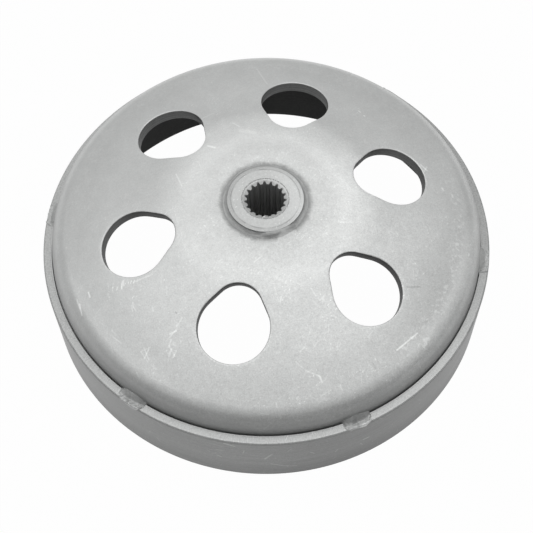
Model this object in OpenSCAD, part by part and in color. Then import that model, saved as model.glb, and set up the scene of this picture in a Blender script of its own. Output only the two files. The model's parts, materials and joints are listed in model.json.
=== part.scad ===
// Clutch bell of a scooter belt drive: a pressed steel dish with six windows,
// a splined hub welded into its middle and a weight ring tack-welded round its rim.
// Z is the axis of rotation. The open rim stands on z = 0 and the windowed face is up.

/* [Drum] */
// Inner diameter of the friction track
bore_d = 125; // [105:0.5:150]
// Wall of the turned skirt that carries the friction track
skirt_wall = 2; // [1.5:0.1:4]
// Height of the flat middle of the plate above the open rim
plate_h = 43.9; // [40:0.1:60]
// Thickness of the pressed sheet
sheet_t = 3.3; // [2:0.1:4]
// Slope of the conical part of the plate, in degrees
cone_slope = 18.3; // [12:0.1:22]
// Outer radius of the bend between plate and skirt
shoulder_r = 7.1; // [5:0.1:9]
// Inner radius of the bend between plate and skirt
shoulder_inner_r = 4.4; // [3:0.1:6]
// Radius of the flat middle of the plate
flat_r = 17.5; // [16.5:0.1:19]
// Radius of the soft bend between flat middle and cone
crown_r = 50; // [30:1:60]
// Chamfer at the mouth of the friction track
mouth_chamfer = 0.6; // [0.3:0.1:1.5]

/* [Windows] */
// Number of windows
window_count = 6; // [3:1:6]
// Distance of the round end's centre from the axis
window_r = 39.6; // [38:0.1:41]
// Radius of the round end, which faces the rim
window_round_r = 10.3; // [7.1:0.1:11]
// Radius of the narrow end, which faces the hub
window_nose_r = 7; // [4:0.1:7]
// Distance between the centres of the two ends
window_length = 5.7; // [4:0.1:7]
// Lean of the windows' walls, punched nearly square to the sheet, in degrees
window_lean = 14; // [0:1:18]

/* [Rim ring] */
// Wall of the ring round the skirt
ring_wall = 3; // [2:0.1:5]
// Height of the ring
ring_h = 24.3; // [15:0.1:26]
// Width of the open crevice at the top of the ring, against the skirt
crevice_w = 0.4; // [0.2:0.1:0.8]
// Depth of that crevice
crevice_h = 1.6; // [0.5:0.1:4]
// Chamfer along the outer edges of the ring
ring_chamfer = 0.4; // [0.2:0.1:1]

/* [Hub] */
// Length of the hub
hub_h = 19.8; // [12:0.1:24]
// Height of the hub's face above the flat middle of the plate
hub_rise = 1.1; // [0.5:0.1:3]
// Diameter of the hub where it stands in the plate
collar_d = 22; // [20:0.1:24]
// Width of the bevel round the hub's face
face_bevel_w = 1.1; // [0.4:0.1:1.5]
// Drop of the bevel round the hub's face
face_bevel_h = 0.25; // [0.1:0.05:0.8]
// Diameter of the flange that the plate rests on
flange_d = 31; // [28:0.5:32]
// Thickness of that flange
flange_t = 3; // [2:0.1:5]
// Diameter of the hub inside the drum
boss_d = 20; // [18:0.1:22]
// Chamfer round the lower end of the hub
boss_chamfer = 0.8; // [0.3:0.1:1.5]

/* [Spline] */
// Number of spline grooves
spline_teeth = 19; // [12:1:24]
// Diameter across the bottoms of the grooves
spline_major_d = 12.3; // [11.6:0.1:13.2]
// Diameter across the tips of the teeth
spline_minor_d = 10.8; // [10:0.1:11.2]
// Width of a groove at its bottom
groove_bottom_w = 0.35; // [0.2:0.05:0.6]
// Slope of a groove's flanks from its middle line, in degrees
groove_flank = 30; // [20:1:35]
// Diameter of the lead-in chamfer at the upper end of the spline
lead_in_d = 13.5; // [13.3:0.1:15]
// Slope of that chamfer down from the hub's face, in degrees
lead_in_slope = 30; // [20:1:45]
// Diameter of the chamfer at the lower end of the spline
lead_out_d = 12.6; // [12.4:0.1:15]

/* [Welds] */
// Width of the weld groove round the hub
hub_weld_w = 2.1; // [1:0.1:3]
// Depth of the weld groove round the hub
hub_weld_h = 1.8; // [1:0.1:2.5]
// Number of tack welds between ring and skirt
rim_weld_count = 6; // [6:1:6]
// Length of one tack weld along the rim
rim_weld_length = 9.5; // [6:0.5:14]
// Height of a tack weld above the ring
rim_weld_h = 1.9; // [1:0.1:2.5]
// Angle of the first tack weld from the middle of a window
rim_weld_turn = 36.4; // [0:0.1:60]

/* [Hidden] */
$fn = 144;
CUT = 1;                // how far a cutter runs past the face it cuts
PUNCH_DOWN = 12;        // reach of a window's punch below and above the top of the sheet
PUNCH_UP = 8;
TUCK = 0.04;            // how far the windows' flanks stay inside their end circles
ARC_STEP = 3;           // degrees per step of an outline's arc
// How far each hand-set tack weld lies off its even place, in degrees
RIM_WELD_SHIFT = [0, 0, 0.4, 1.2, 0, -1.6];

skirt_inner_r = bore_d / 2;
skirt_outer_r = skirt_inner_r + skirt_wall;
ring_outer_r = skirt_outer_r + ring_wall;
collar_r = collar_d / 2;
face_z = plate_h + hub_rise;
plate_under_z = plate_h - sheet_t;
flange_z = plate_under_z - flange_t;
hub_bottom_z = face_z - hub_h;

// The crown arc, the cone and the shoulder arc follow each other without a kink.
crown_centre = [flat_r, plate_h - crown_r];
cone_start = crown_centre + crown_r * [sin(cone_slope), cos(cone_slope)];
function cone_z(r) = cone_start[1] - (r - cone_start[0]) * tan(cone_slope);
shoulder_centre_r = skirt_outer_r - shoulder_r;
shoulder_centre = [shoulder_centre_r, cone_z(shoulder_centre_r) - shoulder_r / cos(cone_slope)];
shoulder_inner_centre_r = skirt_inner_r - shoulder_inner_r;
shoulder_inner_centre = [shoulder_inner_centre_r,
    cone_z(shoulder_inner_centre_r) - (sheet_t + shoulder_inner_r) / cos(cone_slope)];

groove_mouth_w = groove_bottom_w + (spline_major_d - spline_minor_d) * tan(groove_flank);
rim_weld_reach = ring_wall - ring_chamfer;

// Points along an arc, from angle a to angle b.
function arc(centre, r, a, b) =
    let (steps = ceil(abs(b - a) / ARC_STEP))
    [for (i = [0:steps]) let (t = a + (b - a) * i / steps) centre + r * [cos(t), sin(t)]];

// Cross-section of the dish from its flat middle to the open rim.
module dish_section() {
    outer = concat(
        [[0, plate_h]],
        arc(crown_centre, crown_r, 90, 90 - cone_slope),
        arc(shoulder_centre, shoulder_r, 90 - cone_slope, 0),
        [[skirt_outer_r, 0]]);
    inner = concat(
        [[skirt_inner_r + mouth_chamfer, 0], [skirt_inner_r, mouth_chamfer]],
        arc(shoulder_inner_centre, shoulder_inner_r, 0, 90 - cone_slope),
        arc(crown_centre, crown_r - sheet_t, 90 - cone_slope, 90),
        [[0, plate_under_z]]);
    polygon(concat(outer, inner));
}

// Egg-shaped punch outline: a round end, a nose towards the axis and straight flanks.
module window_outline() {
    flank = acos((window_round_r - window_nose_r) / window_length);
    out = [cos(180 - flank), sin(180 - flank)];
    round_corner = (window_round_r - TUCK) * out;
    nose_corner = [-window_length, 0] + (window_nose_r - TUCK) * out;
    circle(window_round_r);
    translate([-window_length, 0]) circle(window_nose_r);
    polygon([round_corner, nose_corner,
        [nose_corner[0], -nose_corner[1]], [round_corner[0], -round_corner[1]]]);
}

module bell_dish() {
    color("gainsboro") difference() {
        rotate_extrude() dish_section();
        for (i = [0:window_count - 1])
            rotate(i * 360 / window_count)
                translate([window_r, 0, cone_z(window_r)]) rotate([0, window_lean, 0])
                    translate([0, 0, -PUNCH_DOWN])
                        linear_extrude(PUNCH_DOWN + PUNCH_UP) window_outline();
        translate([0, 0, plate_under_z - CUT]) cylinder(r = collar_r, h = sheet_t + 2 * CUT);
        translate([0, 0, plate_h - hub_weld_h])
            cylinder(r1 = collar_r, r2 = collar_r + hub_weld_w, h = hub_weld_h);
    }
}

// Ring round the skirt, with the open crevice along its upper inner edge.
module rim_ring() {
    color("darkgray") rotate_extrude() polygon([
        [skirt_outer_r, 0],
        [ring_outer_r - ring_chamfer, 0],
        [ring_outer_r, ring_chamfer],
        [ring_outer_r, ring_h - ring_chamfer],
        [ring_outer_r - ring_chamfer, ring_h],
        [skirt_outer_r + crevice_w, ring_h],
        [skirt_outer_r + crevice_w, ring_h - crevice_h],
        [skirt_outer_r, ring_h - crevice_h]]);
}

// Bore with straight-flanked spline grooves, as a flat outline.
module spline_outline() {
    circle(spline_minor_d / 2);
    for (i = [0:spline_teeth - 1])
        rotate(i * 360 / spline_teeth)
            polygon([
                [0, -groove_mouth_w / 2],
                [spline_minor_d / 2 - TUCK, -groove_mouth_w / 2],
                [spline_major_d / 2, -groove_bottom_w / 2],
                [spline_major_d / 2, groove_bottom_w / 2],
                [spline_minor_d / 2 - TUCK, groove_mouth_w / 2],
                [0, groove_mouth_w / 2]]);
}

module spline_hub() {
    lead_in_h = (lead_in_d - spline_minor_d) / 2 * tan(lead_in_slope);
    lead_out_h = (lead_out_d - spline_minor_d) / 2;
    color("silver") difference() {
        rotate_extrude() polygon([
            [0, hub_bottom_z],
            [boss_d / 2 - boss_chamfer, hub_bottom_z],
            [boss_d / 2, hub_bottom_z + boss_chamfer],
            [boss_d / 2, flange_z],
            [flange_d / 2, flange_z],
            [flange_d / 2, plate_under_z],
            [collar_r, plate_under_z],
            [collar_r, face_z - face_bevel_h],
            [collar_r - face_bevel_w, face_z],
            [0, face_z]]);
        translate([0, 0, hub_bottom_z - CUT]) linear_extrude(hub_h + 2 * CUT) spline_outline();
        translate([0, 0, face_z - lead_in_h])
            cylinder(d1 = spline_minor_d, d2 = lead_in_d, h = lead_in_h);
        translate([0, 0, hub_bottom_z])
            cylinder(d1 = lead_out_d, d2 = spline_minor_d, h = lead_out_h);
    }
}

// Weld that fills the groove between plate and hub, with a hollow top.
module hub_weld() {
    toe = [collar_r, plate_h + hub_rise / 3];
    rim = [collar_r + hub_weld_w, plate_h];
    hollow_r = hub_weld_w;
    middle = (toe + rim) / 2;
    across = rim - toe;
    rise = sqrt(hollow_r * hollow_r - across * across / 4);
    centre = middle + rise * [-across[1], across[0]] / norm(across);
    color("dimgray") rotate_extrude() difference() {
        polygon([[collar_r, plate_h - hub_weld_h], rim, toe]);
        translate(centre) circle(hollow_r);
    }
}

// Tack weld in the corner of ring and skirt: a round bead with a root in the crevice and
// ends that a sphere rounds off.
module rim_weld(index) {
    top = [skirt_outer_r, ring_h + rim_weld_h];
    toe = [skirt_outer_r + rim_weld_reach, ring_h];
    bead_r = rim_weld_reach;
    across = toe - top;
    sink = sqrt(bead_r * bead_r - across * across / 4);
    centre = (top + toe) / 2 + sink * [across[1], -across[0]] / norm(across);
    span = (rim_weld_length + 2 * CUT) / skirt_outer_r * 180 / PI;
    turn = rim_weld_turn + (index - 1) * 360 / rim_weld_count + RIM_WELD_SHIFT[index - 1];
    color("dimgray") rotate(turn)
        intersection() {
            rotate(-span / 2) rotate_extrude(angle = span) {
                intersection() {
                    translate(centre) circle(bead_r);
                    translate([skirt_outer_r, ring_h]) square(2 * bead_r);
                }
                translate([skirt_outer_r, ring_h - crevice_h])
                    square([crevice_w, crevice_h + rim_weld_h / 2]);
            }
            translate([skirt_outer_r + rim_weld_reach / 2, 0, ring_h])
                sphere(rim_weld_length / 2);
        }
}

bell_dish();
rim_ring();
spline_hub();
hub_weld();
rim_weld(1);  // rim_weld_1
rim_weld(2);  // rim_weld_2
rim_weld(3);  // rim_weld_3
rim_weld(4);  // rim_weld_4
rim_weld(5);  // rim_weld_5
rim_weld(6);  // rim_weld_6
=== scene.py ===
"""Looks of a scooter's clutch bell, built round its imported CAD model.

The dish, ring, hub and weld beads are modelled again with rolled and broken edges, from the same
sizes as the CAD solids, and get procedural steel finishes. Everything is in metres.
"""

import json
from math import atan2, cos, hypot, pi, radians, sin, sqrt, tan

import bmesh
import bpy
from mathutils import Matrix, Vector, noise
from mathutils.bvhtree import BVHTree


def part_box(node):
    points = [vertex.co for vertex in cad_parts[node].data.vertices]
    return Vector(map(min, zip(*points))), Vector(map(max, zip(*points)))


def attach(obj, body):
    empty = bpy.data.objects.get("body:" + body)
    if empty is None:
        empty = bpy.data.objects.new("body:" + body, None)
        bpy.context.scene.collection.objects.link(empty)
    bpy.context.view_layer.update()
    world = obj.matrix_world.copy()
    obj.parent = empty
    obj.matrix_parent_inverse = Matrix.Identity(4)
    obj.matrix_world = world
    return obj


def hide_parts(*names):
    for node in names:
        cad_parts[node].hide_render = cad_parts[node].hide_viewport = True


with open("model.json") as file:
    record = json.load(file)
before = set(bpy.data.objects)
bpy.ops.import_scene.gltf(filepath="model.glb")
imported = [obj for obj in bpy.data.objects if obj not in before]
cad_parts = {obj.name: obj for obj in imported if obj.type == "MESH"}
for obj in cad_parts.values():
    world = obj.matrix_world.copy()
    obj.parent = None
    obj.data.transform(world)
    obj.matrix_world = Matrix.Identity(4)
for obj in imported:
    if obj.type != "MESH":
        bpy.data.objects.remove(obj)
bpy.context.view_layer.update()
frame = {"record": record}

MM = 0.001
MERGE_WITHIN = 0.002 * MM

# ------ sizes from the frame

MOUNTS = {mount["name"]: mount for mount in frame["record"]["mounts"]}
DISH_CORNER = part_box("bell_dish")[1]
RING_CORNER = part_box("rim_ring")[1]
HUB_LOW, HUB_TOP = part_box("spline_hub")

PLATE_Z = DISH_CORNER.z
SKIRT_R = DISH_CORNER.x
TRACK_R = MOUNTS["friction_track"]["dims"]["r_mm"] * MM
RING_R = RING_CORNER.x
RING_Z = RING_CORNER.z
FACE_Z = HUB_TOP.z
HUB_BOTTOM_Z = HUB_LOW.z
FLANGE_R = HUB_TOP.x
TOOTH_TIP_R = MOUNTS["hub_spline"]["dims"]["r_mm"] * MM

# ------ sizes of the forms

SHEET = 3.3 * MM
SLOPE = radians(18.3)
FLAT_R = 17.5 * MM
CROWN_R = 50 * MM
SHOULDER_R = 7.1 * MM
SHOULDER_INNER_R = 4.4 * MM
MOUTH_CHAMFER = 0.3 * MM

WINDOWS = 6
WINDOW_R = 39.6 * MM  # centre of the round end, from the axis
WINDOW_ROUND_R = 10.3 * MM
WINDOW_NOSE_R = 7 * MM
WINDOW_LENGTH = 5.7 * MM  # from centre to centre of the two ends
WINDOW_LEAN = radians(14)  # lean of the punch that cut the windows, towards the rim
ROLLED_EDGE = 0.35 * MM  # rounding that the punch leaves on the upper edge
CUT_EDGE = 0.15 * MM  # rounding of the lower edge
WINDOW_MIDDLE = Vector((-WINDOW_LENGTH / 2, 0))

SECTOR = 2 * pi / WINDOWS  # the dish is made as one sector with its window, and copied
SECTOR_IN_R = 19 * MM
SECTOR_OUT_R = 57.5 * MM
SECTOR_STEPS = (32, 24, 16)  # along its rim side, its sides and its hub side
SECTOR_ROWS = (0.06, 0.14, 0.24, 0.36, 0.49, 0.62, 0.75, 0.88, 1.0)  # from window to border
SKIRT_EDGE = 0.25 * MM  # chamfer round the foot of the skirt

COLLAR_R = 11.15 * MM
FACE_BEVEL_W = 1.1 * MM
FACE_BEVEL_H = 0.12 * MM
FLANGE = 3 * MM
BOSS_R = 10 * MM
BOSS_CHAMFER = 0.8 * MM
HUB_EDGE = 0.1 * MM  # break of the hub's turned edges
LEAD_IN_R = 6.75 * MM
LEAD_IN_SLOPE = radians(30)
LEAD_IN_STEPS = 3
LEAD_OUT_R = 6.3 * MM
GROOVES = 19
GROOVE_R = 6.15 * MM
GROOVE_BOTTOM_W = 0.35 * MM
GROOVE_FLANK = radians(30)
TOOTH_STEPS = 16

CREVICE_W = 0.4 * MM  # the open gap between ring and skirt
CREVICE_DEPTH = 1.6 * MM
RING_CHAMFER = 0.4 * MM
RING_FALL = 0.2 * MM  # how far the ring's top falls away towards its outer edge
RING_EDGE = 0.05 * MM
RING_STEPS = 288

WELD_R = 13.1 * MM
WELD_DEPTH = 1.8 * MM
HUB_WELD_CLIMB = 0.5 * MM  # how far the weld climbs the hub above the plate
HUB_WELD_HOLLOW = 0.32 * MM  # depth of its hollow top
HUB_WELD_FLASH = radians(-88)  # where a tongue of weld metal laps over the hub's edge
HUB_WELD_ROWS = 12
HUB_WELD_STEPS = 480

RIM_WELDS = 6
RIM_WELD_TURN = radians(36.4)  # the first tack weld, from +X
RIM_WELD_HALF = 4.5 * MM
RIM_WELD_CLIMB = 1.9 * MM  # how far it climbs the skirt above the ring
RIM_WELD_GRID = (72, 34)  # faces along and across

# For each tack weld: where its outer lip starts and ends (-1 to 1 along the weld), the height
# of that lip, how far it laps over the ring's edge, and its crater's place, in millimetres.
# The first two are at the back, where the photo's outline is smooth, and lie flat.
RIM_WELD_SHAPES = ((-1.0, 1.0, -0.22, -0.30, 0.5), (-1.0, 1.0, -0.22, -0.30, -1.0),
                   (-0.6, 0.6, 0.10, -0.25, 0.4), (-0.10, 0.84, 0.34, 0.08, -1.2),
                   (0.0, 0.90, 0.38, 0.12, -0.6), (-0.6, 0.5, 0.10, -0.28, -0.4))
RIM_WELD_POINTS = {2: "rim_weld_left", 3: "rim_weld_lower_left",
                   4: "rim_weld_lower_right", 5: "rim_weld_right"}

# ------ points in the photograph

PHOTO = 533
POINTS = {
    "left": (42.4, None),
    "right": (489.6, None),
    "top": (None, 57.6),
    "bottom": (None, 474.3),
    "hub_face": (265.5, 198.5),
    "window_1": (389.8, 176.2),
    "window_2": (293.9, 104.8),
    "window_3": (172.0, 135.4),
    "window_4": (136.6, 243.3),
    "window_5": (233.7, 324.7),
    "window_6": (365.1, 288.3),
    "rim_weld_lower_left": (132.6, 398.3),
    "rim_weld_lower_right": (357.7, 421.6),
    "rim_weld_right": (485.0, 260.5),
    "rim_weld_left": (51.0, 214.0),
}

# ------ camera

LENS = 82.83
SENSOR = 36.0
AIM = Vector((-2.43, -8.30, 20.0)) * MM
CAMERA_DISTANCE = 371.7 * MM
CAMERA_TURN = radians(-105.87)
CAMERA_RISE = radians(60.98)
CAMERA_ROLL = radians(-1.136)


def add_camera():
    """Camera on a line from the aim, given by turn and rise, then rolled about that line."""
    away = Vector((cos(CAMERA_RISE) * cos(CAMERA_TURN),
                   cos(CAMERA_RISE) * sin(CAMERA_TURN),
                   sin(CAMERA_RISE)))
    bpy.ops.object.camera_add(location=AIM + away * CAMERA_DISTANCE)
    camera = bpy.context.object
    level = away.to_track_quat("Z", "Y").to_matrix()
    camera.rotation_euler = (level @ Matrix.Rotation(CAMERA_ROLL, 3, "Z")).to_euler()
    camera.data.lens = LENS
    camera.data.sensor_fit = "AUTO"
    camera.data.sensor_width = SENSOR
    bpy.context.scene.camera = camera
    bpy.context.view_layer.update()
    return camera


camera = add_camera()


def seen_way(x, y):
    """Direction in which the camera sees an image point."""
    way = Vector((x - PHOTO / 2, PHOTO / 2 - y, -PHOTO * LENS / SENSOR))
    return (camera.matrix_world.to_3x3() @ way).normalized()


def in_picture(place):
    """Where a place shows in the photograph's frame."""
    spot = camera.matrix_world.inverted() @ Vector(place)
    scale = PHOTO * LENS / SENSOR / -spot.z
    return PHOTO / 2 + spot.x * scale, PHOTO / 2 - spot.y * scale


def tree_of(piece):
    return BVHTree.FromPolygons([vertex.co for vertex in piece.data.vertices],
                                [face.vertices for face in piece.data.polygons])


def seen_on(carrier, point):
    """The place on a finished piece that shows at an image point, or the nearest to that line."""
    eye = camera.matrix_world.translation
    way = seen_way(*POINTS[point])
    tree = tree_of(carrier)
    hit = tree.ray_cast(eye, way)[0]
    if hit:
        return hit
    near = min((vertex.co for vertex in carrier.data.vertices),
               key=lambda place: (place - eye - way * (place - eye).dot(way)).length)
    return Vector(near)


# ------ growing shells by extrusion


def start_loop(name, places):
    """A closed loop of edges through the given places, left in edit mode with all of it selected."""
    bpy.ops.object.select_all(action="DESELECT")
    bpy.ops.mesh.primitive_circle_add(vertices=len(places), radius=MM)
    piece = bpy.context.object
    piece.name = name
    piece.data.name = name
    for vertex, place in zip(piece.data.vertices, places):
        vertex.co = place
    order = piece.data.attributes.new("order", "INT", "POINT")
    order.data.foreach_set("value", range(len(places)))
    bpy.ops.object.mode_set(mode="EDIT")
    bpy.ops.mesh.select_mode(type="EDGE")
    bpy.ops.mesh.select_all(action="SELECT")
    return piece


def extrude_to(piece, place):
    """Extrudes the selected edges and puts each new vertex at place(order, old place)."""
    bpy.ops.mesh.extrude_edges_indiv()
    mesh = bmesh.from_edit_mesh(piece.data)
    order = mesh.verts.layers.int["order"]
    for vertex in mesh.verts:
        if vertex.select:
            vertex.co = place(vertex[order], vertex.co)
    bmesh.update_edit_mesh(piece.data)


def select_edges(piece, chosen):
    """Selects the edges whose two ends both satisfy chosen(place)."""
    bpy.ops.mesh.select_all(action="DESELECT")
    mesh = bmesh.from_edit_mesh(piece.data)
    for edge in mesh.edges:
        edge.select_set(all(chosen(vertex.co) for vertex in edge.verts))
    mesh.select_flush_mode()
    bmesh.update_edit_mesh(piece.data)


def face_outwards(smooth_angle):
    """Points the edited piece's faces outwards, leaves edit mode and shades it smooth."""
    bpy.ops.mesh.select_all(action="SELECT")
    bpy.ops.mesh.normals_make_consistent(inside=False)
    bpy.ops.object.mode_set(mode="OBJECT")
    bpy.ops.object.shade_smooth_by_angle(angle=radians(smooth_angle))


def close_shell(piece, smooth_angle=40):
    """Merges what meets and points the faces outwards."""
    bpy.ops.mesh.select_all(action="SELECT")
    bpy.ops.mesh.remove_doubles(threshold=MERGE_WITHIN)
    face_outwards(smooth_angle)
    piece.data.attributes.remove(piece.data.attributes["order"])
    return piece


def spaced(start, end, count):
    """Evenly spaced numbers from start on, up to but without end."""
    return [start + (end - start) * i / count for i in range(count)]


def polar(r, angle, z):
    return Vector((r * cos(angle), r * sin(angle), z))


def circle(r, z, steps):
    return [polar(r, angle, z) for angle in spaced(0, 2 * pi, steps)]


def on_circle(r, z):
    """A place rule that moves an old place onto a circle of radius r at height z."""
    return lambda _, old: polar(r, atan2(old.y, old.x), z)


def arc(centre, r, start, end, steps):
    """Points along an arc in the (radius, height) plane, from angle start to angle end."""
    return [(centre[0] + r * cos(start + (end - start) * i / steps),
             centre[1] + r * sin(start + (end - start) * i / steps)) for i in range(steps + 1)]


def broken(corners, steps=3):
    """An outline whose corners, each (radius, height, rounding), are broken by small arcs.

    A point close before and after each arc keeps the flats between the corners flat.
    """
    outline = []
    for i, (r, z, rounding) in enumerate(corners):
        corner = Vector((r, z))
        if rounding == 0:
            outline.append(corner)
            continue
        before = (Vector(corners[i - 1][:2]) - corner).normalized()
        after = (Vector(corners[(i + 1) % len(corners)][:2]) - corner).normalized()
        outline.append(corner + before * rounding * 1.5)
        for k in range(steps + 1):
            share = k / steps
            outline.append((corner + before * rounding).lerp(corner, share).lerp(
                corner.lerp(corner + after * rounding, share), share))
        outline.append(corner + after * rounding * 1.5)
    return [(place[0], place[1]) for place in outline]


def turned(name, outline, steps):
    """A closed ring turned round the axis from its (radius, height) outline."""
    piece = start_loop(name, circle(*outline[0], steps))
    for r, z in outline[1:] + outline[:1]:
        extrude_to(piece, on_circle(r, z))
    return close_shell(piece)


# ------ pressed dish


def plate_z(r, depth=0.0):
    """Height of the plate's upper side, or of the layer that lies depth under it."""
    bend = CROWN_R - depth
    centre_z = PLATE_Z - CROWN_R
    bend_end = FLAT_R + bend * sin(SLOPE)
    if r <= FLAT_R:
        return PLATE_Z - depth
    if r <= bend_end:
        return centre_z + sqrt(bend * bend - (r - FLAT_R) ** 2)
    return centre_z + bend * cos(SLOPE) - (r - bend_end) * tan(SLOPE)


def window_distance(x, y):
    """Distance of a point from the punch's egg-shaped outline, negative inside, and the way out.

    The punch's own plane is square to it, with the origin in the middle of the round end.
    """
    lean = (WINDOW_ROUND_R - WINDOW_NOSE_R) / WINDOW_LENGTH
    out = Vector((-lean, sqrt(1 - lean * lean)))
    along = Vector((out.y, -out.x))
    side = 1 if y >= 0 else -1
    from_round = Vector((x, abs(y)))
    from_nose = Vector((x + WINDOW_LENGTH, abs(y)))
    if from_round.dot(along) >= 0:
        way = from_round.normalized()
        distance = from_round.length - WINDOW_ROUND_R
    elif from_nose.dot(along) <= 0:
        way = from_nose.normalized()
        distance = from_nose.length - WINDOW_NOSE_R
    else:
        way = out
        distance = from_round.dot(out) - WINDOW_ROUND_R
    return distance, Vector((way.x, way.y * side))


def punched(point, height):
    """Where the punch's line through a point of its plane reaches height(radius)."""
    radius = WINDOW_R
    for _ in range(6):
        climb = (height(radius) - plate_z(WINDOW_R) + point.x * sin(WINDOW_LEAN)) / cos(WINDOW_LEAN)
        x = WINDOW_R + point.x * cos(WINDOW_LEAN) + climb * sin(WINDOW_LEAN)
        radius = hypot(x, point.y)
    return Vector((x, point.y, height(radius)))


def window_edge(target):
    """Where the line from the window's middle to a place on the plate crosses the punch's outline,
    in the punch's plane, and the way out there."""
    rise = plate_z(target.length) - plate_z(WINDOW_R)
    aim = Vector(((target.x - WINDOW_R) * cos(WINDOW_LEAN) - rise * sin(WINDOW_LEAN), target.y))
    inside, outside = 0.0, 1.0
    for _ in range(40):
        share = (inside + outside) / 2
        point = WINDOW_MIDDLE.lerp(aim, share)
        if window_distance(*point)[0] < 0:
            inside = share
        else:
            outside = share
    return point, window_distance(*point)[1]


def sector_border():
    """Points round one sector of the plate: rim side, left side, hub side and right side."""
    half = SECTOR / 2
    rim_steps, side_steps, hub_steps = SECTOR_STEPS
    border = [(SECTOR_OUT_R, turn) for turn in spaced(-half, half, rim_steps)]
    border += [(r, half) for r in spaced(SECTOR_OUT_R, SECTOR_IN_R, side_steps)]
    border += [(SECTOR_IN_R, turn) for turn in spaced(half, -half, hub_steps)]
    border += [(r, -half) for r in spaced(SECTOR_IN_R, SECTOR_OUT_R, side_steps)]
    return [Vector((r * cos(turn), r * sin(turn))) for r, turn in border]


def add_dish():
    """One sixth of the dish is grown outwards from its window, then copied round and merged."""
    border = sector_border()
    edge = [window_edge(point) for point in border]

    def near_window(offset, height):
        """Places at an offset from the window's edge; height(r) gives their height."""
        def place(order, _):
            point, way = edge[order]
            return punched(point + way * offset, height)
        return place

    def towards_border(share, offset, depth):
        def place(order, _):
            point, way = edge[order]
            start = punched(point + way * offset, lambda r: plate_z(r, depth))
            spot = Vector(start[:2]).lerp(border[order], share)
            return Vector((spot.x, spot.y, plate_z(spot.length, depth)))
        return place

    lower = [towards_border(share, CUT_EDGE, SHEET) for share in reversed(SECTOR_ROWS)]
    piece = start_loop("pressed_dish", [lower[0](i, None) for i in range(len(border))])
    for place in lower[1:]:
        extrude_to(piece, place)
    for turn in (90, 60, 30, 0):
        offset = CUT_EDGE * (1 - cos(radians(turn)))
        rise = CUT_EDGE * (1 - sin(radians(turn)))
        extrude_to(piece, near_window(offset, lambda r: plate_z(r, SHEET) + rise))
    for turn in (0, 15, 30, 45, 60, 75, 90):
        offset = ROLLED_EDGE * (1 - cos(radians(turn)))
        drop = ROLLED_EDGE * (1 - sin(radians(turn)))
        extrude_to(piece, near_window(offset, lambda r: plate_z(r) - drop))
    for share in SECTOR_ROWS:
        extrude_to(piece, towards_border(share, ROLLED_EDGE, 0.0))

    grow_skirt(piece)
    grow_middle(piece)
    bpy.ops.object.mode_set(mode="OBJECT")
    for i in range(1, WINDOWS):
        copy = piece.copy()
        copy.data = piece.data.copy()
        copy.data.transform(Matrix.Rotation(i * SECTOR, 4, "Z"))
        bpy.context.collection.objects.link(copy)
        copy.select_set(True)
    bpy.context.view_layer.objects.active = piece
    bpy.ops.object.join()
    bpy.ops.object.mode_set(mode="EDIT")
    return close_shell(piece)


def grow_skirt(piece):
    """From the sector's rim side over the shoulder, down the skirt and up the friction track."""
    outer_z = plate_z(SECTOR_OUT_R)
    centre_r = SKIRT_R - SHOULDER_R
    centre = (centre_r, plate_z(centre_r) - SHOULDER_R / cos(SLOPE))
    inner_r = TRACK_R - SHOULDER_INNER_R
    inner = (inner_r, plate_z(inner_r) - (SHEET + SHOULDER_INNER_R) / cos(SLOPE))
    outline = arc(centre, SHOULDER_R, pi / 2 - SLOPE, 0, 18)
    outline += [(SKIRT_R, RING_Z - 2 * MM), (SKIRT_R, SKIRT_EDGE), (SKIRT_R - SKIRT_EDGE, 0)]
    outline += [(TRACK_R + MOUTH_CHAMFER, 0), (TRACK_R, MOUTH_CHAMFER)]
    outline += arc(inner, SHOULDER_INNER_R, 0, pi / 2 - SLOPE, 10)
    outline += [(SECTOR_OUT_R, plate_z(SECTOR_OUT_R, SHEET))]
    select_edges(piece, lambda place: hypot(place.x, place.y) > SECTOR_OUT_R - 0.01 * MM
                 and place.z > outer_z - SHEET / 2)
    for r, z in outline:
        extrude_to(piece, on_circle(r, z))


def grow_middle(piece):
    """From the sector's hub side to the hole for the hub, through it and back underneath."""
    inner_z = plate_z(SECTOR_IN_R)
    outline = [(FLAT_R, PLATE_Z), (WELD_R, PLATE_Z), (WELD_R - 0.7 * MM, PLATE_Z - 0.1 * MM)]
    outline += [(COLLAR_R, PLATE_Z - WELD_DEPTH), (COLLAR_R, PLATE_Z - SHEET)]
    outline += [(FLAT_R, PLATE_Z - SHEET), (SECTOR_IN_R, plate_z(SECTOR_IN_R, SHEET))]
    select_edges(piece, lambda place: hypot(place.x, place.y) < SECTOR_IN_R + 0.01 * MM
                 and place.z > inner_z - SHEET / 2)
    for r, z in outline:
        extrude_to(piece, on_circle(r, z))


# ------ hub


def tooth_r(share):
    """Radius of the spline's wall at a share of the pitch, with rounded tips and groove bottoms."""
    from_groove = min(share, 1 - share) * 2 * pi / GROOVES * (TOOTH_TIP_R + GROOVE_R) / 2
    flank = (from_groove - GROOVE_BOTTOM_W / 2) / tan(GROOVE_FLANK)
    climb = min(max(flank / (GROOVE_R - TOOTH_TIP_R), 0), 1)
    soft = climb * climb * (3 - 2 * climb) * 0.4 + climb * 0.6
    return GROOVE_R + (TOOTH_TIP_R - GROOVE_R) * soft


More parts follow.
